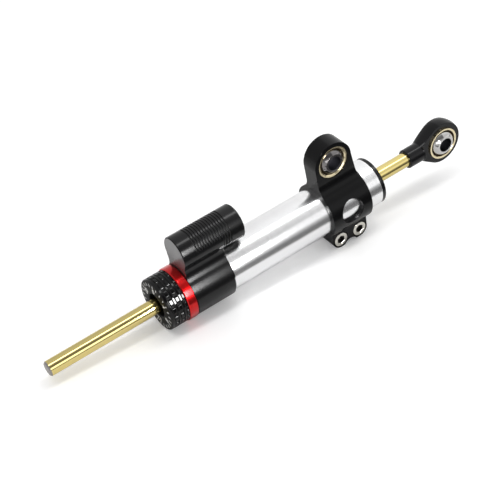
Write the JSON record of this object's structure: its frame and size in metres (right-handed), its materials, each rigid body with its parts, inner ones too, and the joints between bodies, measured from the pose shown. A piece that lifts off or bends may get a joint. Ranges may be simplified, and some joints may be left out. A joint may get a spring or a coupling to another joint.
{
  "type": "steering damper",
  "caption": "Through-rod hydraulic steering damper for a motorcycle, with click adjuster, top reservoir, clamp and spherical bearings.",
  "frame": {"origin": "centre of the ball in the clamp's ear, on the axis of the frame bolt", "axes": "+X along the piston rod towards the rod end, +Y along both ball bores, away from the screw heads, +Z from the rod towards the reservoir"},
  "size_m": [0.2574, 0.0304, 0.0627],
  "materials": {
    "gold_coated_steel": "polished",
    "polished_aluminium": "polished",
    "plain_aluminium": "machined",
    "black_anodised": "satin",
    "red_anodised": "glossy",
    "gold_race": "polished",
    "bearing_steel": "polished",
    "stainless": "polished",
    "spring_steel": "plain",
    "bronze": "plain",
    "seal_rubber": "matte",
    "ptfe": "matte"
  },
  "bodies": {
    "clamp": {"clamp": "black_anodised", "clamp_screws": "stainless", "ear_race": "gold_race"},
    "ear_ball": {"ear_ball": "bearing_steel"},
    "cylinder": {"damper_tube": "polished_aluminium", "head_block": "black_anodised", "head_guide_bush": "bronze", "head_rod_seal": "seal_rubber", "head_rod_wiper": "seal_rubber", "neck_o_rings": "seal_rubber", "knob_snap_ring": "spring_steel", "spacer_ring": "red_anodised", "click_ball": "bearing_steel", "click_spring": "spring_steel", "end_cap": "black_anodised", "end_cap_o_ring": "seal_rubber", "cap_guide_bush": "bronze", "cap_rod_seal": "seal_rubber", "cap_rod_wiper": "seal_rubber", "reservoir_cap": "black_anodised", "reservoir_cap_o_ring": "seal_rubber", "reservoir_clip": "spring_steel", "fill_screw": "stainless"},
    "rod": {"piston_rod": "gold_coated_steel", "piston": "plain_aluminium", "piston_ring": "ptfe", "piston_clips": "spring_steel", "rod_end_body": "black_anodised", "rod_end_race": "gold_race"},
    "rod_end_ball": {"rod_end_ball": "bearing_steel"},
    "knob": {"adjuster_knob": "black_anodised", "metering_sleeve": "plain_aluminium"},
    "floating_piston": {"floating_piston": "plain_aluminium", "floating_piston_o_ring": "seal_rubber"}
  },
  "joints": [
    {"name": "clamp_slide", "type": "slide", "parent": "clamp", "child": "cylinder", "axis": [1, 0, 0], "range_m": [-0.009, 0.045]},
    {"name": "rod_slide", "type": "slide", "parent": "cylinder", "child": "rod", "axis": [1, 0, 0], "range_m": [-0.02, 0.055]},
    {"name": "knob_turn", "type": "hinge", "parent": "cylinder", "child": "knob", "pos_m": [-0.105, 0, -0.0292], "axis": [1, 0, 0], "range_deg": [-150, 150]},
    {"name": "floating_piston_slide", "type": "slide", "parent": "cylinder", "child": "floating_piston", "axis": [1, 0, 0], "range_m": [-0.003, 0.003]},
    {"name": "ear_ball_turn", "type": "hinge", "parent": "clamp", "child": "ear_ball", "pos_m": [0, 0, 0], "axis": [0, 1, 0], "continuous": true},
    {"name": "rod_end_ball_turn", "type": "hinge", "parent": "rod", "child": "rod_end_ball", "pos_m": [0.0725, 0, -0.0292], "axis": [0, 1, 0], "continuous": true}
  ]
}
